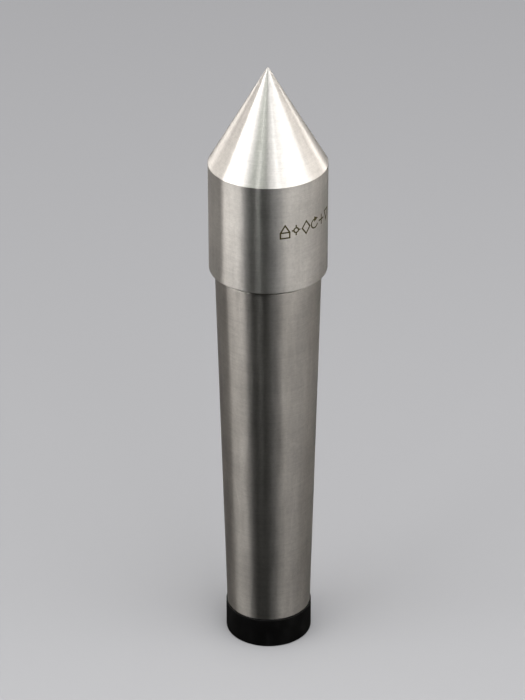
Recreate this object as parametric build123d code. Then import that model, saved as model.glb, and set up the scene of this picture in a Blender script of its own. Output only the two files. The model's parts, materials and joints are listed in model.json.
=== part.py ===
"""A slim live center: a 60 degree point that turns on bearings inside a Morse taper No. 2 shank.

Millimetres. The axis is Z, the point is up, and the origin is the middle of the end cap's underside.
"""
from build123d import *
from math import cos, radians, sin, tan
import os

# Morse taper No. 2, DIN 228-1
gauge_diameter = 17.780
gauge_below_mouth = 5.0
taper_per_mm = 0.04995
shank_length = 69.0

# End cap, and the spigot that it is pushed over
cap_height = 5.6
cap_diameter = 15.1
cap_edge = 0.25
cap_rim_edge = 0.12
spigot_length = 2.84
spigot_diameter = 12.6

# Point and collar
collar_diameter = 20.0
collar_length = 19.52
collar_gap = 0.62
point_angle = 60.0
tip_radius = 0.15
edge_break = 0.2

# Spindle
spindle_diameter = 7.0
boss_diameter = 11.6
journal_diameter = 5.0
journal_step_diameter = 6.0
journal_step_length = 0.6
thread_diameter = 4.8
thread_end_bevel = 0.3
keyway_width = 1.1
keyway_depth = 0.7

# Bore of the shank
mouth_diameter = 15.5
mouth_depth = 1.8
tube_diameter = 7.8

# Seal in the mouth of the bore
seal_recess = 0.4
seal_beak = 0.4
seal_lip_thickness = 0.35
seal_lip_spread = 0.35
seal_lip_gap = 0.15

# Thrust ball bearing, 7 x 13 x 4.5, on a shim
thrust_bore = 7.0
thrust_outside = 13.0
thrust_height = 4.5
thrust_washer_height = 1.45
thrust_ball_diameter = 2.0
thrust_ball_count = 10
thrust_cage_inside = 7.44
thrust_cage_outside = 12.6
thrust_cage_height = 0.8
thrust_seat_diameter = 13.1
thrust_below_mouth = 0.7
shim_height = 0.3

# Drawn cup needle bearing, 7 x 11 x 9
needle_below_seat = 0.6
needle_cup_outside = 11.0
needle_cup_length = 9.0
needle_cup_wall = 0.8
needle_cup_lip = 0.5
needle_cup_bevel = 0.4
needle_cup_end_gap = 0.1
needle_diameter = 1.2
needle_length = 6.9
needle_count = 14
needle_cage_inside = 7.9
needle_cage_outside = 8.76
needle_cage_end_play = 0.15

# Rear ball bearing, 5 x 10 x 4, with two shields
rear_bottom = 18.6
rear_outside = 10.0
rear_width = 4.0
rear_ball_diameter = 1.588
rear_ball_count = 9
rear_inner_land = 6.3
rear_outer_land = 8.6
rear_cage_inside = 6.96
rear_cage_outside = 8.04
rear_cage_width = 2.2
shield_inset = 0.2
shield_thickness = 0.2

# Disc springs above the rear bearing
spring_stack_height = 1.5
spring_thickness = 0.3

# Lock washer and lock nut below it
lock_washer_height = 0.6
tab_width = 0.9
nut_height = 3.2
nut_diameter = 8.8
nut_slot_width = 1.4
nut_slot_depth = 1.1
thread_past_nut = 1.2

# Plug that closes the bore
plug_bottom = 6.6
plug_height = 4.0
plug_nose_height = 1.2
plug_nose_diameter = 7.8
plug_edge = 0.4
hex_across_flats = 5.0
hex_depth = 2.4
o_ring_section = 1.04

# Radial clearances
seat_gap = 0.02
needle_gap = 0.04
ball_gap = 0.05
lip_gap = 0.08
free_gap = 0.3

# Heights along the axis
spigot_end = cap_height - spigot_length
shank_top = spigot_end + shank_length
mouth_floor = shank_top - mouth_depth
collar_bottom = shank_top + collar_gap
collar_top = collar_bottom + collar_length
thrust_top = mouth_floor - thrust_below_mouth
thrust_bottom = thrust_top - thrust_height
thrust_middle = thrust_bottom + thrust_height / 2
washer_seat = thrust_bottom - shim_height
needle_top = washer_seat - needle_below_seat
needle_bottom = needle_top - needle_cup_length
needle_middle = needle_bottom + needle_cup_length / 2
rear_top = rear_bottom + rear_width
rear_middle = rear_bottom + rear_width / 2
spring_seat = rear_top + spring_stack_height
nut_top = rear_bottom - lock_washer_height
nut_bottom = nut_top - nut_height
spindle_end = nut_bottom - thread_past_nut
plug_top = plug_bottom + plug_height

# Radii
collar_radius = collar_diameter / 2
spindle_radius = spindle_diameter / 2
boss_radius = boss_diameter / 2
journal_radius = journal_diameter / 2
thread_radius = thread_diameter / 2
mouth_radius = mouth_diameter / 2
thrust_seat_radius = thrust_seat_diameter / 2
thrust_pitch_radius = (thrust_bore + thrust_outside) / 4
thrust_groove_radius = thrust_ball_diameter / 2 + ball_gap
needle_seat_radius = needle_cup_outside / 2
tube_radius = tube_diameter / 2
rear_bore_radius = rear_outside / 2
rear_pitch_radius = (journal_diameter + rear_outside) / 4
rear_groove_radius = rear_ball_diameter / 2 + ball_gap


def taper_radius(height):
    """Radius of the Morse taper at a height along the axis."""
    gauge_height = shank_top - gauge_below_mouth
    return (gauge_diameter + (height - gauge_height) * taper_per_mm) / 2


def turned(corners):
    """A solid turned about Z from (radius, height) corners."""
    outline = Polyline(*[(radius, 0, height) for radius, height in corners], close=True)
    return revolve(make_face(outline), Axis.Z)


def ring(inner_radius, outer_radius, bottom, top, bevel=0.0):
    """A ring between two heights, with bevelled outer corners."""
    corners = [(inner_radius, bottom), (outer_radius - bevel, bottom)]
    if bevel:
        corners += [(outer_radius, bottom + bevel), (outer_radius, top - bevel)]
    return turned(corners + [(outer_radius - bevel, top), (inner_radius, top)])


def around(count, radius, height):
    """Evenly spaced places on a circle about Z."""
    return [Rot(0, 0, 360 / count * turn) * Pos(radius, 0, height) for turn in range(count)]


def block(inner_x, outer_x, width, bottom, top):
    """A box that lies along the X axis, from one radius to another."""
    size = Box(outer_x - inner_x, width, top - bottom)
    return Pos((inner_x + outer_x) / 2, 0, (bottom + top) / 2) * size


def taper_shank():
    """Morse taper shank, bored right through for the bearings."""
    mouth_edge = taper_radius(shank_top)
    small_end = taper_radius(cap_height)
    spigot_radius = spigot_diameter / 2
    cup_floor = needle_bottom - needle_cup_end_gap
    return turned([
        (rear_bore_radius + edge_break, spigot_end),
        (spigot_radius - edge_break, spigot_end),
        (spigot_radius, spigot_end + edge_break),
        (spigot_radius, cap_height),
        (small_end - edge_break, cap_height),
        (small_end, cap_height + edge_break),
        (taper_radius(shank_top - edge_break), shank_top - edge_break),
        (mouth_edge - edge_break, shank_top),
        (mouth_radius, shank_top),
        (mouth_radius, mouth_floor),
        (thrust_seat_radius, mouth_floor),
        (thrust_seat_radius, washer_seat),
        (needle_seat_radius, washer_seat),
        (needle_seat_radius, cup_floor),
        (tube_radius, cup_floor),
        (tube_radius, spring_seat),
        (rear_bore_radius, spring_seat),
        (rear_bore_radius, spigot_end + edge_break),
    ])


def point_spindle():
    """Point, collar and spindle, ground from one bar, with a keyway in the thread."""
    half_angle = radians(point_angle / 2)
    apex = collar_top + collar_radius / tan(half_angle)
    tip_centre = apex - tip_radius / sin(half_angle)
    tip_top = (0, 0, tip_centre + tip_radius)

    def on_tip(elevation):
        return (tip_radius * cos(elevation), 0, tip_centre + tip_radius * sin(elevation))

    shoulder_bottom = rear_top + journal_step_length
    shoulder_width = spindle_radius - journal_step_diameter / 2
    corners = [
        (0, spindle_end),
        (thread_radius - thread_end_bevel, spindle_end),
        (thread_radius, spindle_end + thread_end_bevel),
        (thread_radius, rear_bottom - thread_end_bevel),
        (journal_radius, rear_bottom - thread_end_bevel),
        (journal_radius, rear_top),
        (journal_step_diameter / 2, rear_top),
        (journal_step_diameter / 2, shoulder_bottom),
        (spindle_radius, shoulder_bottom + shoulder_width),
        (spindle_radius, thrust_top),
        (boss_radius - edge_break, thrust_top),
        (boss_radius, thrust_top + edge_break),
        (boss_radius, collar_bottom),
        (collar_radius - edge_break, collar_bottom),
        (collar_radius, collar_bottom + edge_break),
        (collar_radius, collar_top),
    ]
    side = Polyline(*[(radius, 0, height) for radius, height in corners], on_tip(half_angle))
    tip = ThreePointArc(on_tip(half_angle), on_tip(radians(60)), tip_top)
    middle_line = Line(tip_top, (0, 0, spindle_end))
    body = revolve(make_face(side + tip + middle_line), Axis.Z)
    keyway_floor = thread_radius - keyway_depth
    return body - block(keyway_floor, collar_radius / 2, keyway_width, spindle_end, rear_bottom)


def thrust_raceway():
    """The ring that both thrust grooves are cut with."""
    return Pos(0, 0, thrust_middle) * Torus(thrust_pitch_radius, thrust_groove_radius)


def thrust_washer_upper():
    """Turning washer, seated on the spindle under the boss."""
    inner, outer = spindle_radius + seat_gap, thrust_outside / 2 - free_gap / 2
    washer = ring(inner, outer, thrust_top - thrust_washer_height, thrust_top, edge_break)
    return washer - thrust_raceway()


def thrust_washer_lower():
    """Standing washer, on the shim in the shank."""
    inner, outer = spindle_radius + free_gap, thrust_seat_radius - seat_gap
    washer = ring(inner, outer, thrust_bottom, thrust_bottom + thrust_washer_height, edge_break)
    return washer - thrust_raceway()


def thrust_ball_places():
    return around(thrust_ball_count, thrust_pitch_radius, thrust_middle)


def thrust_balls():
    ball = Sphere(thrust_ball_diameter / 2)
    return Compound(children=[place * ball for place in thrust_ball_places()])


def thrust_cage():
    """Flat brass ring with a round pocket for each ball."""
    half_height = thrust_cage_height / 2
    inner, outer = thrust_cage_inside / 2, thrust_cage_outside / 2
    cage = ring(inner, outer, thrust_middle - half_height, thrust_middle + half_height)
    for place in thrust_ball_places():
        cage -= place * Cylinder(thrust_groove_radius, thrust_height)
    return cage


def shim_ring():
    """Thin ring that sets the gap between collar and shank."""
    return ring(spindle_radius + free_gap, thrust_seat_radius - seat_gap, washer_seat, thrust_bottom)


def mouth_seal():
    """Rubber ring in the mouth: a seat, a beak round the boss, and a lip towards the collar."""
    bottom, seat_top = mouth_floor + seat_gap, shank_top - seal_recess
    inner, outer = boss_radius + lip_gap, mouth_radius - seat_gap
    lip_root = (inner + outer) / 2
    lip_edge, lip_top = lip_root + seal_lip_spread, collar_bottom - seal_lip_gap
    return turned([
        (inner, bottom + seal_beak),
        (inner + seal_beak, bottom),
        (outer, bottom),
        (outer, seat_top),
        (lip_root + seal_lip_thickness, seat_top),
        (lip_edge + seal_lip_thickness, lip_top),
        (lip_edge, lip_top),
        (lip_root, seat_top),
        (inner, seat_top),
    ])


def front_needle_cup():
    """Cup drawn from sheet, turned in at both ends over the cage."""
    outer, lip_inner = needle_seat_radius - seat_gap, spindle_radius + free_gap
    cup = ring(lip_inner, outer, needle_bottom, needle_top, needle_cup_bevel)
    track = needle_seat_radius - needle_cup_wall
    return cup - ring(0, track, needle_bottom + needle_cup_lip, needle_top - needle_cup_lip)


def needle_places():
    return around(needle_count, spindle_radius + needle_diameter / 2, needle_middle)


def front_needles():
    needle = Cylinder(needle_diameter / 2 - needle_gap, needle_length)
    return Compound(children=[place * needle for place in needle_places()])


def front_needle_cage():
    """Thin sleeve with a window for each needle."""
    half_length = needle_cup_length / 2 - needle_cup_lip - needle_cage_end_play
    bottom, top = needle_middle - half_length, needle_middle + half_length
    cage = ring(needle_cage_inside / 2, needle_cage_outside / 2, bottom, top)
    window = Box(needle_cage_outside / 4, needle_diameter + needle_gap, needle_length + needle_gap)
    for place in needle_places():
        cage -= place * window
    return cage


def disc_spring(flat_height, lift):
    """One disc spring: its outer edge stands at flat_height, and lift raises its inner edge."""
    inner, outer = tube_radius, rear_bore_radius - free_gap / 2
    return turned([
        (outer, flat_height),
        (outer, flat_height + spring_thickness),
        (inner, flat_height + lift + spring_thickness),
        (inner, flat_height + lift),
    ])


def disc_springs():
    """Two disc springs, inner edges together, between the rear bearing and its shoulder."""
    lift = spring_stack_height / 2 - spring_thickness - seat_gap
    lower = disc_spring(rear_top, lift)
    upper = disc_spring(spring_seat - spring_thickness, -lift)
    return Compound(children=[lower, upper])


def rear_raceway():
    """The ring that both rear grooves are cut with."""
    return Pos(0, 0, rear_middle) * Torus(rear_pitch_radius, rear_groove_radius)


def rear_bearing_inner_ring():
    inner, outer = journal_radius + seat_gap, rear_inner_land / 2
    return ring(inner, outer, rear_bottom, rear_top, edge_break / 2) - rear_raceway()


def rear_bearing_outer_ring():
    inner, outer = rear_outer_land / 2, rear_bore_radius - seat_gap
    return ring(inner, outer, rear_bottom, rear_top, edge_break) - rear_raceway()


def rear_ball_places():
    return around(rear_ball_count, rear_pitch_radius, rear_middle)


def rear_bearing_balls():
    ball = Sphere(rear_ball_diameter / 2)
    return Compound(children=[place * ball for place in rear_ball_places()])


def rear_bearing_cage():
    """Sheet band with a round pocket for each ball."""
    half_width = rear_cage_width / 2
    inner, outer = rear_cage_inside / 2, rear_cage_outside / 2
    cage = ring(inner, outer, rear_middle - half_width, rear_middle + half_width)
    pocket = Rot(0, 90, 0) * Cylinder(rear_groove_radius, rear_cage_width)
    for place in rear_ball_places():
        cage -= place * pocket
    return cage


def rear_bearing_shields():
    """Two thin discs in the outer ring, one at each side."""
    inner, outer = rear_inner_land / 2 + lip_gap, rear_outer_land / 2 - seat_gap
    bottoms = [rear_bottom + shield_inset, rear_top - shield_inset - shield_thickness]
    discs = [ring(inner, outer, bottom, bottom + shield_thickness) for bottom in bottoms]
    return Compound(children=discs)


def lock_washer():
    """Tab washer: one tab in the spindle's keyway, one bent into a slot of the nut."""
    washer = ring(journal_radius + seat_gap, rear_inner_land / 2, nut_top, rear_bottom)
    keyway_tab = block(thread_radius - keyway_depth / 2, rear_inner_land / 2, tab_width, nut_top, rear_bottom)
    bend = nut_diameter / 2 - nut_slot_depth / 2
    flat_tab = block(journal_radius + free_gap, bend, tab_width, nut_top, rear_bottom)
    bent_tab = block(bend - lock_washer_height / 2, bend, tab_width, nut_top - nut_slot_depth, rear_bottom)
    return washer + keyway_tab + Rot(0, 0, 45) * (flat_tab + bent_tab)


def lock_nut():
    """Round nut with four slots for a hook spanner."""
    radius = nut_diameter / 2
    nut = ring(thread_radius + seat_gap, radius, nut_bottom, nut_top, edge_break)
    slot = block(radius - nut_slot_depth, radius + 1, nut_slot_width, nut_bottom, nut_top)
    for quarter in range(4):
        nut -= Rot(0, 0, 45 + 90 * quarter) * slot
    return nut


def rear_plug():
    """Threaded plug with a hex socket, that closes the bore."""
    outer, nose = rear_bore_radius - seat_gap, plug_nose_diameter / 2
    plug = ring(0, outer, plug_bottom, plug_top, plug_edge)
    plug += ring(0, nose, plug_top, plug_top + plug_nose_height)
    hexagon = RegularPolygon(hex_across_flats / 2, 6, major_radius=False)
    return plug - extrude(Pos(0, 0, plug_bottom) * hexagon, hex_depth)


def plug_o_ring():
    """Seal round the plug's nose."""
    section = o_ring_section / 2
    middle_radius = (plug_nose_diameter / 2 + rear_bore_radius) / 2
    return Pos(0, 0, plug_top + section + seat_gap) * Torus(middle_radius, section)


def end_cap():
    """Moulded cap: a socket over the spigot, and a stem in the bore's mouth."""
    radius = cap_diameter / 2
    socket_radius, socket_floor = spigot_diameter / 2 + seat_gap, spigot_end - seat_gap
    stem_radius, stem_top = rear_bore_radius - free_gap, plug_bottom - free_gap
    rim_top = cap_height - seat_gap
    return turned([
        (0, 0),
        (radius - cap_edge, 0),
        (radius, cap_edge),
        (radius, rim_top - cap_rim_edge),
        (radius - cap_rim_edge, rim_top),
        (socket_radius, rim_top),
        (socket_radius, socket_floor),
        (stem_radius, socket_floor),
        (stem_radius - edge_break, stem_top),
        (0, stem_top),
    ])


pieces = [
    taper_shank, mouth_seal, shim_ring, thrust_washer_lower, front_needle_cup, disc_springs,
    rear_bearing_outer_ring, rear_bearing_shields, rear_plug, plug_o_ring, end_cap,
    point_spindle, thrust_washer_upper, rear_bearing_inner_ring, lock_washer, lock_nut,
    thrust_balls, thrust_cage, front_needles, front_needle_cage, rear_bearing_balls, rear_bearing_cage,
]
os.makedirs("parts", exist_ok=True)
for piece in pieces:
    export_step(piece(), f"parts/{piece.__name__}.step")
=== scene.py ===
"""Looks of a live center: ground steel point and shank, black end cap, on a pale studio floor.

The model is in metres, in the CAD model's frame. Sizes are named in millimetres and scaled by MM.
Azimuths are in degrees about the axis, from 0 on the camera's side, positive to its right.
"""

import json
from math import ceil, cos, pi, radians, sin, tan

import bmesh
import bpy
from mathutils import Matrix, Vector


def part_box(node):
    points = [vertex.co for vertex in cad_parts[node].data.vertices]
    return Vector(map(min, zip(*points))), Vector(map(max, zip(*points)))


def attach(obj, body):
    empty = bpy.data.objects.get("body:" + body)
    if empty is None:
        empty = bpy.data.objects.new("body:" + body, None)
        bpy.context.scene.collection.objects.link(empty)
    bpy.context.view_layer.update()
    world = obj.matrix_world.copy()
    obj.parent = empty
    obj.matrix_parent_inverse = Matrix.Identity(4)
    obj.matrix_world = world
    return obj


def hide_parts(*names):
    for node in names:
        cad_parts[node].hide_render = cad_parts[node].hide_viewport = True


MM = 0.001

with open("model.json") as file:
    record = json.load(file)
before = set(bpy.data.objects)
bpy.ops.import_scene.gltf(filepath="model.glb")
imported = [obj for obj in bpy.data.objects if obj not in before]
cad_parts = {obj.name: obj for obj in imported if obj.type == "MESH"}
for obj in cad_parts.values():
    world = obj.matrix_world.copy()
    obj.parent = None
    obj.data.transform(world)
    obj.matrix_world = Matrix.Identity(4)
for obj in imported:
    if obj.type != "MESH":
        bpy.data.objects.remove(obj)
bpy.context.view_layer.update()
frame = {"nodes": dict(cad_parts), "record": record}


def height_of(node, corner):
    """Height in millimetres of a CAD node's lowest (0) or highest (1) corner."""
    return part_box(node)[corner].z / MM


def radius_of(node):
    """Largest radius in millimetres of a turned CAD node."""
    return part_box(node)[1].x / MM


# --- sizes, in millimetres -----------------------------------------------------------------------

TURNED_SEGMENTS = 384
ROUNDING_STEPS = 6
SHARP_ANGLE = 28

TIP_RADIUS = 0.15
TIP_STEPS = 8
POINT_HALF_ANGLE = radians(30)
COLLAR_RADIUS = radius_of("point_spindle")
APEX = height_of("point_spindle", 1) + TIP_RADIUS / sin(POINT_HALF_ANGLE) - TIP_RADIUS
COLLAR_TOP = APEX - COLLAR_RADIUS / tan(POINT_HALF_ANGLE)
COLLAR_GAP = 0.62
COLLAR_BOTTOM = height_of("taper_shank", 1) + COLLAR_GAP
CONE_EDGE = 0.06
COLLAR_EDGE = 0.22

BOSS_RADIUS = 5.8
SPINDLE_RADIUS = 3.5
STEP_RADIUS = 3.0
STEP_HEIGHT = 0.6
JOURNAL_RADIUS = 2.5
THREAD_RADIUS = 2.4
THREAD_END_BEVEL = 0.3
EDGE_BREAK = 0.2

SHANK_SMALL_RADIUS = 7.36
SHANK_TOP_EDGE = 0.04
SHANK_FOOT_EDGE = 0.12
SPIGOT_RADIUS = 6.3
MOUTH_RADIUS = 7.75
THRUST_SEAT_RADIUS = 6.55
NEEDLE_SEAT_RADIUS = 5.5
TUBE_RADIUS = 3.9
REAR_BORE_RADIUS = 5.0
FIT_GAP = 0.02

CAP_RADIUS = radius_of("end_cap")
CAP_EDGE = 0.25
CAP_RIM = 0.18
CAP_STEM_RADIUS = 4.7
CAP_TOP = 5.6


# --- outlines and meshes -------------------------------------------------------------------------

def rounded(corners):
    """Outline points from (radius, height, rounding) corners, with an extra point beside each rounding."""
    points = []
    for i, (radius, height, rounding) in enumerate(corners):
        here = Vector((radius, height))
        before = (Vector(corners[i - 1][:2]) - here).normalized()
        after = (Vector(corners[(i + 1) % len(corners)][:2]) - here).normalized()
        if rounding == 0:
            points.append(here)
            continue
        half_angle = before.angle(after) / 2
        reach = rounding / tan(half_angle)
        centre = here + (before + after).normalized() * rounding / sin(half_angle)
        start, end = here + before * reach, here + after * reach
        beside = rounding / 3
        points.append(start + before * beside)
        for step in range(ROUNDING_STEPS + 1):
            toward_corner = (start.lerp(end, step / ROUNDING_STEPS) - centre).normalized()
            points.append(centre + toward_corner * rounding)
        points.append(end + after * beside)
    return points


def new_piece(name, shape, body, material):
    """A Blender object from a bmesh, smooth but for its sharp edges, riding on a body."""
    bmesh.ops.recalc_face_normals(shape, faces=shape.faces)
    mesh = bpy.data.meshes.new(name)
    shape.to_mesh(mesh)
    shape.free()
    mesh.shade_smooth()
    mesh.set_sharp_from_angle(angle=radians(SHARP_ANGLE))
    mesh.materials.append(material)
    piece = bpy.data.objects.new(name, mesh)
    bpy.context.scene.collection.objects.link(piece)
    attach(piece, body)
    return piece


def lathe(outline):
    """A closed bmesh turned about Z from an outline in millimetres."""
    shape = bmesh.new()
    turns = [2 * pi * k / TURNED_SEGMENTS for k in range(TURNED_SEGMENTS)]
    rings = []
    for radius, height in outline:
        angles = turns if radius > 0 else turns[:1]
        places = [Vector((radius * cos(a), radius * sin(a), height)) * MM for a in angles]
        rings.append([shape.verts.new(place) for place in places])
    for lower, upper in zip(rings, rings[1:] + rings[:1]):
        if len(lower) == 1 and len(upper) == 1:
            continue
        for k in range(TURNED_SEGMENTS):
            following = (k + 1) % TURNED_SEGMENTS
            face = {
                lower[k % len(lower)]: None,
                lower[following % len(lower)]: None,
                upper[following % len(upper)]: None,
                upper[k % len(upper)]: None,
            }
            shape.faces.new(tuple(face))
    return shape


# --- materials -----------------------------------------------------------------------------------

class Material:
    """A Principled material, with short calls for the nodes that the materials share."""

    def __init__(self, name):
        self.material = bpy.data.materials.new(name)
        self.material.use_nodes = True
        self.tree = self.material.node_tree
        self.shader = self.tree.nodes["Principled BSDF"]
        self.position = self.add("ShaderNodeTexCoord").outputs["Object"]

    def add(self, kind, **settings):
        node = self.tree.nodes.new(kind)
        for key, value in settings.items():
            setattr(node, key, value)
        return node

    def feed(self, socket, value):
        """Sets a socket from a number, a colour or another socket."""
        if isinstance(value, bpy.types.NodeSocket):
            self.tree.links.new(value, socket)
        elif isinstance(value, (tuple, list)) and len(socket.default_value) == 4:
            socket.default_value = (*value, 1.0)
        else:
            socket.default_value = value

    def noise(self, stretch, detail=3.0, rough=0.55, offset=0.0, tilt=(0.0, 0.0, 0.0)):
        """Noise from 0 to 1, with stretch cycles per metre along X, Y and Z, after a tilt."""
        place = self.add("ShaderNodeMapping")
        self.feed(place.inputs["Scale"], stretch)
        self.feed(place.inputs["Rotation"], tilt)
        self.feed(place.inputs["Location"], (offset, offset * 0.7, offset * 1.3))
        self.feed(place.inputs["Vector"], self.position)
        texture = self.add("ShaderNodeTexNoise")
        self.feed(texture.inputs["Scale"], 1.0)
        self.feed(texture.inputs["Detail"], detail)
        self.feed(texture.inputs["Roughness"], rough)
        self.feed(texture.inputs["Vector"], place.outputs["Vector"])
        return texture.outputs["Fac"]

    def scratches(self, tilt, offset):
        """A few long fine marks, 1 on a mark and 0 beside it: a stretched noise's level lines, in patches."""
        level = self.noise((40, 240, 40), detail=0, offset=offset, tilt=tilt)
        from_line = self.math("ABSOLUTE", self.math("SUBTRACT", level, 0.5))
        patch = self.noise((110, 110, 90), detail=1, offset=offset + 5)
        return self.math("MULTIPLY", self.span(from_line, 0.010, 0.002), self.span(patch, 0.56, 0.64))

    def math(self, operation, *values):
        node = self.add("ShaderNodeMath", operation=operation)
        for value, socket in zip(values, node.inputs):
            self.feed(socket, value)
        return node.outputs[0]

    def blend(self, *weighted):
        """Sum of (weight, value) pairs."""
        total = self.math("MULTIPLY", weighted[0][1], weighted[0][0])
        for weight, value in weighted[1:]:
            total = self.math("MULTIPLY_ADD", value, weight, total)
        return total

    def span(self, value, low, high, to_low=0.0, to_high=1.0):
        """The stretch of a value from low to high, moved to to_low and to_high and clamped."""
        node = self.add("ShaderNodeMapRange")
        for key, number in (("From Min", low), ("From Max", high), ("To Min", to_low), ("To Max", to_high)):
            self.feed(node.inputs[key], number)
        self.feed(node.inputs["Value"], value)
        return node.outputs["Result"]

    def mix(self, share, first, second):
        """Colour from first, at share 0, to second, at share 1."""
        node = self.add("ShaderNodeMix", data_type="RGBA")
        self.feed(node.inputs["Factor"], share)
        self.feed(node.inputs[6], first)
        self.feed(node.inputs[7], second)
        return node.outputs[2]

    def bump(self, height, strength, depth_mm, under=None):
        """Normal with a height added to the normal under it."""
        node = self.add("ShaderNodeBump")
        self.feed(node.inputs["Strength"], strength)
        self.feed(node.inputs["Distance"], depth_mm * MM)
        self.feed(node.inputs["Height"], height)
        if under is not None:
            self.feed(node.inputs["Normal"], under)
        return node.outputs["Normal"]

    def turned_lines(self, anisotropy):
        """Highlights run along the axis, square to the fine lines that turning or grinding leaves."""
        tangent = self.add("ShaderNodeTangent", direction_type="RADIAL", axis="Z")
        self.feed(self.shader.inputs["Tangent"], tangent.outputs[0])
        self.feed(self.shader.inputs["Anisotropic"], anisotropy)
        self.feed(self.shader.inputs["Anisotropic Rotation"], 0.25)

    def finish(self, colour, roughness, normal, metallic=1.0):
        self.feed(self.shader.inputs["Base Color"], colour)
        self.feed(self.shader.inputs["Roughness"], roughness)
        self.feed(self.shader.inputs["Normal"], normal)
        self.feed(self.shader.inputs["Metallic"], metallic)
        return self.material


def shaded(colour, factor):
    return tuple(value * factor for value in colour)


def ground_steel(name, colour, roughness, contrast=1.0):
    """Steel ground between centers, then handled: fine lines, soft streaks and clouds, a few scratches.

    The roughness stays above 0.275, below which the render's denoiser leaves blotches on the steel.
    """
    m = Material(name)
    lines = m.noise((220, 220, 7000), detail=4)
    bands = m.noise((30, 30, 1100), detail=3, offset=3.1)
    streaks = m.noise((900, 900, 55), detail=4, rough=0.65, offset=5.3)
    clouds = m.noise((240, 240, 170), detail=5, rough=0.65, offset=7.7)
    grain = m.noise((1900, 1900, 1900), detail=2, rough=0.7, offset=1.9)
    shade = m.blend((0.20, lines), (0.10, bands), (0.26, streaks), (0.20, clouds), (0.24, grain))
    spread = 0.13 / contrast
    base = m.mix(m.span(shade, 0.5 - spread, 0.5 + spread), shaded(colour, 0.78), shaded(colour, 1.12))
    marks = m.math("MAXIMUM", m.scratches((0.5, 0.35, 0.2), 2.0), m.scratches((-0.7, 0.4, 1.1), 9.0))
    base = m.mix(m.math("MULTIPLY", marks, 0.3), base, shaded(colour, 1.3))
    wear = m.blend((0.5, clouds), (0.3, streaks), (0.2, bands))
    rough = m.span(wear, 0.35, 0.65, roughness - 0.018, roughness + 0.02)
    normal = m.bump(lines, 0.25, 0.02)
    normal = m.bump(bands, 0.06, 0.05, normal)
    normal = m.bump(streaks, 0.22, 0.03, normal)
    normal = m.bump(grain, 0.12, 0.02, normal)
    m.turned_lines(0.95)
    return m.finish(base, rough, normal)


def moulded_black(name, colour, roughness, grain=1.0, specular=0.5):
    """Black plastic or rubber with a fine moulded grain and dusty patches."""
    m = Material(name)
    grains = m.noise((2500, 2500, 2500), detail=2)
    dust = m.noise((400, 400, 300), detail=4, rough=0.6, offset=4.2)
    base = m.mix(m.span(dust, 0.5, 0.8), colour, shaded(colour, 2.5))
    rough = m.span(dust, 0.3, 0.7, roughness - 0.08, roughness + 0.08)
    m.feed(m.shader.inputs["Specular IOR Level"], specular)
    return m.finish(base, rough, m.bump(grains, 0.25 * grain, 0.04), metallic=0.0)


def turned_metal(name, colour, roughness, line_strength=0.15, anisotropy=0.6):
    """Turned or polished metal of a small inner part, with fine lines and slight staining."""
    m = Material(name)
    lines = m.noise((300, 300, 9000), detail=3)
    stains = m.noise((320, 320, 320), detail=4, rough=0.6, offset=6.1)
    shade = m.span(m.blend((0.4, lines), (0.6, stains)), 0.36, 0.64)
    base = m.mix(shade, shaded(colour, 0.86), shaded(colour, 1.06))
    rough = m.span(stains, 0.3, 0.7, roughness * 0.8, roughness * 1.3)
    m.turned_lines(anisotropy)
    return m.finish(base, rough, m.bump(lines, line_strength, 0.02))


def rolled_sheet(name, colour, roughness):
    """Pressed sheet steel: rolling lines one way, and a faint oil film."""
    m = Material(name)
    rolling = m.noise((5000, 260, 260), detail=3, offset=2.4)
    film = m.noise((260, 260, 260), detail=4, rough=0.6, offset=8.8)
    base = m.mix(m.span(film, 0.35, 0.65), shaded(colour, 0.85), shaded(colour, 1.1))
    rough = m.span(m.blend((0.5, rolling), (0.5, film)), 0.35, 0.65, roughness - 0.08, roughness + 0.1)
    return m.finish(base, rough, m.bump(rolling, 0.2, 0.02))


def tempered_spring(name, colour, tint, roughness):
    """Hardened spring steel, dark, with patches of temper colour."""
    m = Material(name)
    patches = m.noise((350, 350, 350), detail=3, offset=3.3)
    grain = m.noise((3500, 3500, 3500), detail=2, offset=1.1)
    base = m.mix(m.span(patches, 0.42, 0.62), colour, tint)
    rough = m.span(patches, 0.3, 0.7, roughness - 0.06, roughness + 0.08)
    return m.finish(base, rough, m.bump(grain, 0.2, 0.02))


def black_oxide(name, colour, roughness):
    """Blackened steel, with thin spots where the metal shows through."""
    m = Material(name)
    crystals = m.noise((4200, 4200, 4200), detail=2, offset=2.2)
    wear = m.noise((700, 700, 700), detail=5, rough=0.7, offset=9.4)
    base = m.mix(m.span(wear, 0.62, 0.72), colour, shaded(colour, 5.0))
    rough = m.span(wear, 0.35, 0.75, roughness + 0.05, roughness - 0.12)
    return m.finish(base, rough, m.bump(crystals, 0.25, 0.02), metallic=0.85)


point_steel = ground_steel("point_steel", (0.66, 0.64, 0.61), 0.32)
shank_steel = ground_steel("shank_steel", (0.64, 0.612, 0.575), 0.297)
cap_plastic = moulded_black("cap_plastic", (0.0012, 0.0012, 0.0012), 0.5, specular=0.12)
seal_rubber = moulded_black("seal_rubber", (0.012, 0.012, 0.012), 0.7, 0.6)
bearing_steel = turned_metal("bearing_steel", (0.66, 0.665, 0.67), 0.16, 0.06)
sheet_steel = rolled_sheet("sheet_steel", (0.54, 0.54, 0.53), 0.37)
spring_steel = tempered_spring("spring_steel", (0.16, 0.155, 0.15), (0.20, 0.15, 0.10), 0.36)
black_steel = black_oxide("black_steel", (0.028, 0.028, 0.03), 0.46)
cage_brass = turned_metal("cage_brass", (0.74, 0.55, 0.27), 0.35, 0.2)
etched_brown = black_oxide("etched_brown", (0.085, 0.072, 0.030), 0.62)

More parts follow.
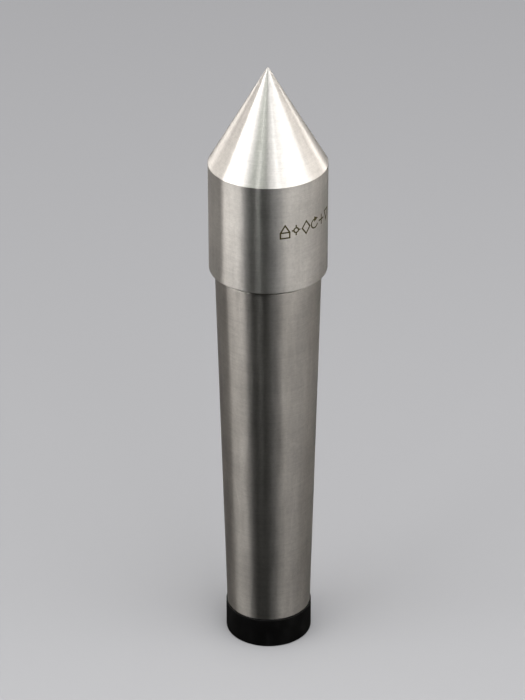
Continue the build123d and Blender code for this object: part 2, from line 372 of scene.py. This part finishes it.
INNER_MATERIALS = {
    "seal_rubber": seal_rubber,
    "bearing_steel": bearing_steel,
    "sheet_steel": sheet_steel,
    "spring_steel": spring_steel,
    "black_steel": black_steel,
    "cage_brass": cage_brass,
}


def dress_inner_nodes():
    """Gives each CAD node that stays its material, by the slot that the record names for it."""
    for part in frame["record"]["subparts"]:
        material = INNER_MATERIALS.get(part["material_slot"])
        if material is None:
            continue
        for slot in frame["nodes"][part["node"]].material_slots:
            slot.material = material


dress_inner_nodes()


# --- visible pieces ------------------------------------------------------------------------------

def point_and_collar():
    """Point, collar and spindle in one turned piece."""
    boss_bottom = height_of("thrust_washer_upper", 1)
    rear_top = height_of("rear_bearing_inner_ring", 1)
    rear_bottom = height_of("rear_bearing_inner_ring", 0)
    outline = rounded([
        (0, height_of("point_spindle", 0), 0),
        (THREAD_RADIUS, height_of("point_spindle", 0), THREAD_END_BEVEL),
        (THREAD_RADIUS, rear_bottom - THREAD_END_BEVEL, 0),
        (JOURNAL_RADIUS, rear_bottom - THREAD_END_BEVEL, 0),
        (JOURNAL_RADIUS, rear_top, 0),
        (STEP_RADIUS, rear_top, 0),
        (STEP_RADIUS, rear_top + STEP_HEIGHT, 0),
        (SPINDLE_RADIUS, rear_top + STEP_HEIGHT + SPINDLE_RADIUS - STEP_RADIUS, 0),
        (SPINDLE_RADIUS, boss_bottom, 0),
        (BOSS_RADIUS, boss_bottom, EDGE_BREAK),
        (BOSS_RADIUS, COLLAR_BOTTOM, 0),
        (COLLAR_RADIUS, COLLAR_BOTTOM, COLLAR_EDGE),
        (COLLAR_RADIUS, COLLAR_TOP, CONE_EDGE),
        (0, APEX, 0),
    ])[:-1]
    tip_centre = APEX - TIP_RADIUS / sin(POINT_HALF_ANGLE)
    for step in range(TIP_STEPS):
        angle = POINT_HALF_ANGLE + (pi / 2 - POINT_HALF_ANGLE) * step / TIP_STEPS
        outline.append((TIP_RADIUS * cos(angle), tip_centre + TIP_RADIUS * sin(angle)))
    outline.append((0, tip_centre + TIP_RADIUS))
    piece = new_piece("point_and_collar", lathe(outline), "spindle", point_steel)
    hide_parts("point_spindle")


def shank_body():
    """Morse taper with its bore."""
    top, bottom = height_of("taper_shank", 1), height_of("taper_shank", 0)
    outline = rounded([
        (REAR_BORE_RADIUS, bottom, EDGE_BREAK),
        (SPIGOT_RADIUS, bottom, EDGE_BREAK),
        (SPIGOT_RADIUS, CAP_TOP, 0),
        (SHANK_SMALL_RADIUS, CAP_TOP, SHANK_FOOT_EDGE),
        (radius_of("taper_shank"), top, SHANK_TOP_EDGE),
        (MOUTH_RADIUS, top, 0),
        (MOUTH_RADIUS, height_of("mouth_seal", 0), 0),
        (THRUST_SEAT_RADIUS, height_of("mouth_seal", 0), 0),
        (THRUST_SEAT_RADIUS, height_of("shim_ring", 0), 0),
        (NEEDLE_SEAT_RADIUS, height_of("shim_ring", 0), 0),
        (NEEDLE_SEAT_RADIUS, height_of("front_needle_cup", 0), 0),
        (TUBE_RADIUS, height_of("front_needle_cup", 0), 0),
        (TUBE_RADIUS, height_of("disc_springs", 1), 0),
        (REAR_BORE_RADIUS, height_of("disc_springs", 1), 0),
    ])
    piece = new_piece("shank_body", lathe(outline), "shank", shank_steel)
    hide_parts("taper_shank")


def cap_body():
    """Moulded cap with its stem."""
    rim = CAP_TOP - FIT_GAP
    spigot_end = height_of("taper_shank", 0) - FIT_GAP
    outline = rounded([
        (0, 0, 0),
        (CAP_RADIUS, 0, CAP_EDGE),
        (CAP_RADIUS, rim, CAP_RIM),
        (SPIGOT_RADIUS + FIT_GAP, rim, 0),
        (SPIGOT_RADIUS + FIT_GAP, spigot_end, 0),
        (CAP_STEM_RADIUS, spigot_end, 0),
        (CAP_STEM_RADIUS, height_of("end_cap", 1), EDGE_BREAK),
        (0, height_of("end_cap", 1), 0),
    ])
    piece = new_piece("cap_body", lathe(outline), "shank", cap_plastic)
    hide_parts("end_cap")


# --- etched signs --------------------------------------------------------------------------------

STROKE_WIDTH = 0.26
SIGN_HEIGHT = 2.3
SIGN_WIDTH = 1.6
SIGN_PITCH = 1.97
SIGN_INSET = 0.2
CENTER_SHOULDER = 1.0
SIGHT_RADIUS = 0.42
ARROW_HALF = 0.3
SIGNS_START = 11.5
SIGNS_MIDDLE = 83.8
ETCH_PROUD = 0.01
PATH_STEP = 0.3
SHARPEST_MITRE = 0.35


def ring_of(radius, middle, steps, start=0, sweep=360):
    """Points of an arc, or of a closed circle without its last point."""
    last = steps if sweep == 360 else steps + 1
    angles = [radians(start + sweep * k / steps) for k in range(last)]
    return [(middle[0] + radius * cos(a), middle[1] + radius * sin(a)) for a in angles]


def sign_strokes():
    """Strokes of each sign as (points, closed), x to the right and y up, in a box of the sign's size."""
    across, up = SIGN_WIDTH / 2, SIGN_HEIGHT / 2
    middle = (across, up)
    low, high = SIGN_INSET, SIGN_HEIGHT - SIGN_INSET
    center = [
        ([(0, 0), (SIGN_WIDTH, 0), (SIGN_WIDTH, CENTER_SHOULDER),
          (across, SIGN_HEIGHT), (0, CENTER_SHOULDER)], True),
        ([(0, CENTER_SHOULDER), (SIGN_WIDTH, CENTER_SHOULDER)], False),
    ]
    crosshair = [
        (ring_of(SIGHT_RADIUS, middle, steps=24), True),
        ([(across, low), (across, up - SIGHT_RADIUS)], False),
        ([(across, up + SIGHT_RADIUS), (across, high)], False),
        ([(0, up), (across - SIGHT_RADIUS, up)], False),
        ([(across + SIGHT_RADIUS, up), (SIGN_WIDTH, up)], False),
    ]
    diamond = [([(across, 0), (SIGN_WIDTH, up), (across, SIGN_HEIGHT), (0, up)], True)]
    rim = up + across
    turning = [
        (ring_of(across, middle, steps=32, start=60, sweep=285), False),
        ([(across, rim - ARROW_HALF), (across + 2 * ARROW_HALF, rim), (across, rim + ARROW_HALF)], True),
    ]
    plus = [
        ([(0, up), (SIGN_WIDTH, up)], False),
        ([(across, low), (across, high)], False),
    ]
    finish = [([(across, low), (SIGN_WIDTH, high), (0, high)], True)]
    return [center, crosshair, diamond, turning, plus, finish]


def ribbon_edges(points, closed):
    """Left and right edges of a stroke with mitred corners, in steps short enough for the collar."""
    corners = [Vector(point) for point in points]
    following = corners[1:] + corners[:1] if closed else corners[1:]
    path = []
    for here, there in zip(corners, following):
        pieces = max(1, ceil((there - here).length / PATH_STEP))
        path += [here.lerp(there, k / pieces) for k in range(pieces)]
    if not closed:
        path.append(corners[-1])
    left, right = [], []
    for i, point in enumerate(path):
        before = path[i - 1] if closed or i > 0 else None
        after = path[(i + 1) % len(path)] if closed or i < len(path) - 1 else None
        arriving = (point - before).normalized() if before is not None else (after - point).normalized()
        leaving = (after - point).normalized() if after is not None else arriving
        bisector = (arriving + leaving).normalized()
        half_stroke = STROKE_WIDTH / 2 / max(bisector.dot(arriving), SHARPEST_MITRE)
        side = Vector((-bisector.y, bisector.x)) * half_stroke
        left.append(point + side)
        right.append(point - side)
    return left, right


def etched_signs():
    """A row of plain signs round the collar, each stroke a thin closed strip on the surface."""
    shape = bmesh.new()

    def on_collar(point, start, proud):
        angle = radians(SIGNS_START) + (start + point.x) / COLLAR_RADIUS
        radius = COLLAR_RADIUS + proud
        height = SIGNS_MIDDLE - SIGN_HEIGHT / 2 + point.y
        return shape.verts.new(Vector((radius * sin(angle), -radius * cos(angle), height)) * MM)

    for number, strokes in enumerate(sign_strokes()):
        for points, closed in strokes:
            left, right = ribbon_edges(points, closed)
            layers = [[on_collar(point, number * SIGN_PITCH, proud) for point in edge]
                      for edge in (left, right) for proud in (ETCH_PROUD, -ETCH_PROUD)]
            left_top, left_under, right_top, right_under = layers
            count = len(left)
            for k in range(count if closed else count - 1):
                n = (k + 1) % count
                for first, second in ((left_top, right_top), (right_top, right_under),
                                      (right_under, left_under), (left_under, left_top)):
                    shape.faces.new((first[k], first[n], second[n], second[k]))
            if not closed:
                for k in (0, -1):
                    shape.faces.new((left_top[k], right_top[k], right_under[k], left_under[k]))
    new_piece("etched_signs", shape, "spindle", etched_brown)


point_and_collar()
shank_body()
cap_body()
etched_signs()


# --- studio: camera from millimetres, lights and floor in metres ---------------------------------

AIM = Vector((-0.99, 0, 56.2)) * MM
CAMERA_DISTANCE = 546.9 * MM
CAMERA_PITCH = 29.41
CAMERA_ROLL = -0.14
CAMERA_LENS = 164.57


def toward(azimuth, elevation):
    """Unit vector away from the axis, at an azimuth and an elevation in degrees."""
    a, e = radians(azimuth), radians(elevation)
    return Vector((sin(a) * cos(e), -cos(a) * cos(e), sin(e)))


def add_camera():
    data = bpy.data.cameras.new("camera")
    data.lens = CAMERA_LENS
    data.sensor_width = 36.0
    data.clip_start = 0.01
    camera = bpy.data.objects.new("camera", data)
    camera.location = AIM + toward(0, CAMERA_PITCH) * CAMERA_DISTANCE
    camera.rotation_euler = (pi / 2 - radians(CAMERA_PITCH), 0, 0)
    camera.rotation_euler.rotate_axis("Z", radians(CAMERA_ROLL))
    bpy.context.scene.collection.objects.link(camera)
    bpy.context.scene.camera = camera


LOW_LIGHT = 10
all_but_floor = bpy.data.collections.new("all_but_floor")


def softbox(name, azimuth, elevation, distance, width, height, radiance, soft=0.3, colour=(1, 1, 1)):
    """An area light that faces the object's middle and fades over a soft share of its half width.

    A light below LOW_LIGHT degrees lights everything but the floor, which it would burn out beside it.
    """
    data = bpy.data.lights.new(name, "AREA")
    data.shape = "RECTANGLE"
    data.size, data.size_y = width, height
    data.energy = radiance * pi * width * height
    data.color = colour
    data.use_nodes = True
    tree = data.node_tree
    place = tree.nodes.new("ShaderNodeNewGeometry").outputs["Parametric"]
    axes = tree.nodes.new("ShaderNodeSeparateXYZ")
    tree.links.new(place, axes.inputs[0])
    strength = None
    for axis in ("X", "Y"):
        offset = tree.nodes.new("ShaderNodeMath")
        offset.operation = "SUBTRACT"
        offset.inputs[1].default_value = 0.5
        tree.links.new(axes.outputs[axis], offset.inputs[0])
        from_middle = tree.nodes.new("ShaderNodeMath")
        from_middle.operation = "ABSOLUTE"
        tree.links.new(offset.outputs[0], from_middle.inputs[0])
        fade = tree.nodes.new("ShaderNodeMapRange")
        fade.interpolation_type = "SMOOTHSTEP"
        fade.inputs["From Min"].default_value = 0.5
        fade.inputs["From Max"].default_value = 0.5 * (1 - soft)
        tree.links.new(from_middle.outputs[0], fade.inputs["Value"])
        if strength is None:
            strength = fade.outputs["Result"]
        else:
            product = tree.nodes.new("ShaderNodeMath")
            product.operation = "MULTIPLY"
            tree.links.new(strength, product.inputs[0])
            tree.links.new(fade.outputs["Result"], product.inputs[1])
            strength = product.outputs[0]
    tree.links.new(strength, tree.nodes["Emission"].inputs["Strength"])
    light = bpy.data.objects.new(name, data)
    direction = toward(azimuth, elevation)
    light.location = AIM + direction * distance
    light.rotation_mode = "QUATERNION"
    light.rotation_quaternion = direction.to_track_quat("Z", "Y")
    light.visible_camera = False
    bpy.context.scene.collection.objects.link(light)
    if elevation < LOW_LIGHT:
        light.light_linking.receiver_collection = all_but_floor


WARM = (1.0, 0.955, 0.91)
GREENISH = (0.95, 1.0, 0.94)
add_camera()
softbox("left_window", -64.5, 24, 0.60, 0.66, 0.38, 3.5, 0.45)
softbox("left_sill", -69.5, 5, 0.60, 0.62, 0.17, 7.2, 0.5, WARM)
softbox("left_far", -94, 4, 1.20, 0.80, 0.22, 3.8, 0.7, WARM)
softbox("left_side", -104, 20, 0.60, 0.50, 0.24, 1.7, 0.8, WARM)
softbox("left_back", -134, 3, 0.45, 0.60, 0.10, 4.1, 0.4, WARM)
softbox("thin_strip", -17.5, 24, 0.13, 0.0045, 0.04, 12.0, 0.4)
softbox("front_dim", -23, 57, 0.13, 0.070, 0.065, 1.9, 0.5, GREENISH)
softbox("front_right", 12, 38, 0.20, 0.070, 0.16, 1.5, 0.15)
softbox("right_window", 52, 30, 0.60, 1.10, 0.30, 4.0, 0.6)
softbox("right_sill", 53, 6, 0.60, 0.93, 0.20, 5.4, 0.7, WARM)
softbox("right_side", 98, 20, 0.60, 0.50, 0.24, 1.75, 0.8, WARM)
softbox("right_low", 108, 3, 0.60, 0.90, 0.13, 6.4, 0.6, WARM)
softbox("right_back", 150, 3, 0.45, 0.50, 0.10, 2.1, 0.5, WARM)
softbox("overhead", 0, 88, 0.8, 1.0, 1.0, 0.6)


FLOOR_SIZE = 4.0
FLOOR_NEAR = (0.46, 0.46, 0.47)
# the far floor's paler colour is painted light, standing in for the lamp light that fades far from the object
FLOOR_FAR_PAINTED_LIGHT = (0.96, 0.96, 0.96)
FLOOR_PAINTED_LIGHT_FADE = (0.35, 0.85)
BACKDROP = (0.50, 0.50, 0.51)
FLOOR_IN_METAL = (0.006, 0.006, 0.006)
BACKDROP_IN_METAL = (0.006, 0.007, 0.006)


def stage_mix(tree, share, first, second):
    """Colour from first to second; first is a colour or a socket."""
    mix = tree.nodes.new("ShaderNodeMix")
    mix.data_type = "RGBA"
    tree.links.new(share, mix.inputs["Factor"])
    if isinstance(first, tuple):
        mix.inputs[6].default_value = (*first, 1)
    else:
        tree.links.new(first, mix.inputs[6])
    mix.inputs[7].default_value = (*second, 1)
    return mix.outputs[2]


def stage_shader(tree, pale, in_metal, kind, output_socket):
    """pale as the camera and the diffuse light see it, in_metal where glossy steel mirrors it."""
    ray = tree.nodes.new("ShaderNodeLightPath")
    shader = tree.nodes.new(kind)
    tree.links.new(stage_mix(tree, ray.outputs["Is Glossy Ray"], pale, in_metal), shader.inputs["Color"])
    tree.links.new(shader.outputs[0], output_socket)


def studio_floor():
    """A floor painted paler far away, where the lights fade: painted light that stands in for the fading
    lamps, so that it meets the backdrop softly.
    """
    mesh = bpy.data.meshes.new("floor")
    near, far = -FLOOR_SIZE, FLOOR_SIZE
    corners = [(near, near, 0), (far, near, 0), (far, far, 0), (near, far, 0)]
    mesh.from_pydata(corners, [], [(0, 1, 2, 3)])
    material = bpy.data.materials.new("floor_paper")
    material.use_nodes = True
    tree = material.node_tree
    tree.nodes.remove(tree.nodes["Principled BSDF"])
    output = tree.nodes["Material Output"].inputs["Surface"]
    distance = tree.nodes.new("ShaderNodeVectorMath")
    distance.operation = "LENGTH"
    tree.links.new(tree.nodes.new("ShaderNodeTexCoord").outputs["Object"], distance.inputs[0])
    # painted light: the floor's colour turns paler with distance from the object, where the lamps' light
    # fades
    fade = tree.nodes.new("ShaderNodeMapRange")
    fade.interpolation_type = "SMOOTHSTEP"
    fade.inputs["From Min"].default_value = FLOOR_PAINTED_LIGHT_FADE[0]
    fade.inputs["From Max"].default_value = FLOOR_PAINTED_LIGHT_FADE[1]
    tree.links.new(distance.outputs["Value"], fade.inputs["Value"])
    pale = stage_mix(tree, fade.outputs["Result"], FLOOR_NEAR, FLOOR_FAR_PAINTED_LIGHT)
    stage_shader(tree, pale, FLOOR_IN_METAL, "ShaderNodeBsdfDiffuse", output)
    mesh.materials.append(material)
    floor = bpy.data.objects.new("floor", mesh)
    bpy.context.scene.collection.objects.link(floor)
    all_but_floor.objects.link(floor)
    all_but_floor.collection_objects[0].light_linking.link_state = "EXCLUDE"


def studio_world():
    world = bpy.data.worlds.new("studio")
    bpy.context.scene.world = world
    world.use_nodes = True
    tree = world.node_tree
    tree.nodes.clear()
    output = tree.nodes.new("ShaderNodeOutputWorld").inputs["Surface"]
    stage_shader(tree, BACKDROP, BACKDROP_IN_METAL, "ShaderNodeBackground", output)


studio_floor()
studio_world()
bpy.context.scene.view_settings.view_transform = "Standard"
